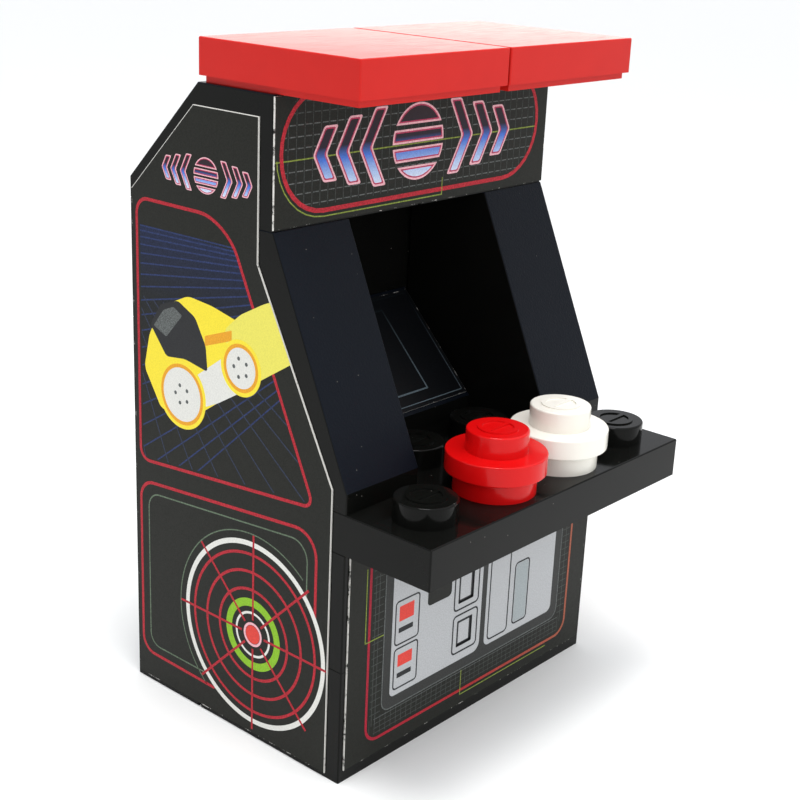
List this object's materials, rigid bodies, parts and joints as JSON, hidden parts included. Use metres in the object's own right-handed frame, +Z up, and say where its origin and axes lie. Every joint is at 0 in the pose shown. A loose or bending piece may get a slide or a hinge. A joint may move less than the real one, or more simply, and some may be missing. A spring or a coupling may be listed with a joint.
{
  "type": "bartop arcade cabinet",
  "caption": "Toy brick-built arcade cabinet: overhanging control deck with round plate buttons, recessed sloped screen, marquee, lift-off roof tiles and printed stickers.",
  "frame": {"origin": "on the ground, midway between the outer ends of the width and of the depth", "axes": "+X the cabinet's right as its player sees it, +Y its back, +Z up; the front faces -Y"},
  "size_m": [0.032, 0.0318, 0.0544],
  "materials": {
    "black_brick": "moulded glossy black ABS",
    "black_slope": "glossy black ABS with a finely grained sloped face",
    "red_tile": "moulded glossy red ABS",
    "red_button": "moulded glossy red ABS",
    "white_button": "moulded glossy white ABS",
    "printed_side": "satin printed paper sticker, black with coloured line art",
    "printed_marquee": "satin printed paper sticker, black with a chrome emblem",
    "printed_coin_door": "satin printed paper sticker, black with grey coin door panels",
    "printed_screen": "satin printed paper sticker, dark screen"
  },
  "bodies": {
    "cabinet": {"base_front_brick": "black_brick", "base_back_brick": "black_brick", "upper_front_brick": "black_brick", "upper_back_brick": "black_brick", "control_plate": "black_brick", "side_slope_left": "black_slope", "side_slope_right": "black_slope", "screen_slope": "black_slope", "back_corner_brick_left": "black_brick", "back_corner_brick_right": "black_brick", "back_wall_brick": "black_brick", "marquee_slope_left": "black_slope", "marquee_slope_right": "black_slope", "side_sticker_left": "printed_side", "side_sticker_right": "printed_side", "marquee_sticker": "printed_marquee", "coin_door_sticker": "printed_coin_door", "screen_sticker": "printed_screen"},
    "roof_left": {"roof_tile_left": "red_tile"},
    "roof_right": {"roof_tile_right": "red_tile"},
    "red_button": {"red_round_plate": "red_button"},
    "white_button": {"white_round_plate": "white_button"}
  },
  "joints": [
    {"name": "roof_left_lift", "type": "slide", "parent": "cabinet", "child": "roof_left", "axis": [0, 0, 1], "range_m": [0, 0.01]},
    {"name": "roof_right_lift", "type": "slide", "parent": "cabinet", "child": "roof_right", "axis": [0, 0, 1], "range_m": [0, 0.01]},
    {"name": "red_button_turn", "type": "hinge", "parent": "cabinet", "child": "red_button", "pos_m": [-0.004, -0.012, 0.0224], "axis": [0, 0, 1], "continuous": true},
    {"name": "white_button_turn", "type": "hinge", "parent": "cabinet", "child": "white_button", "pos_m": [0.004, -0.012, 0.0224], "axis": [0, 0, 1], "continuous": true}
  ]
}
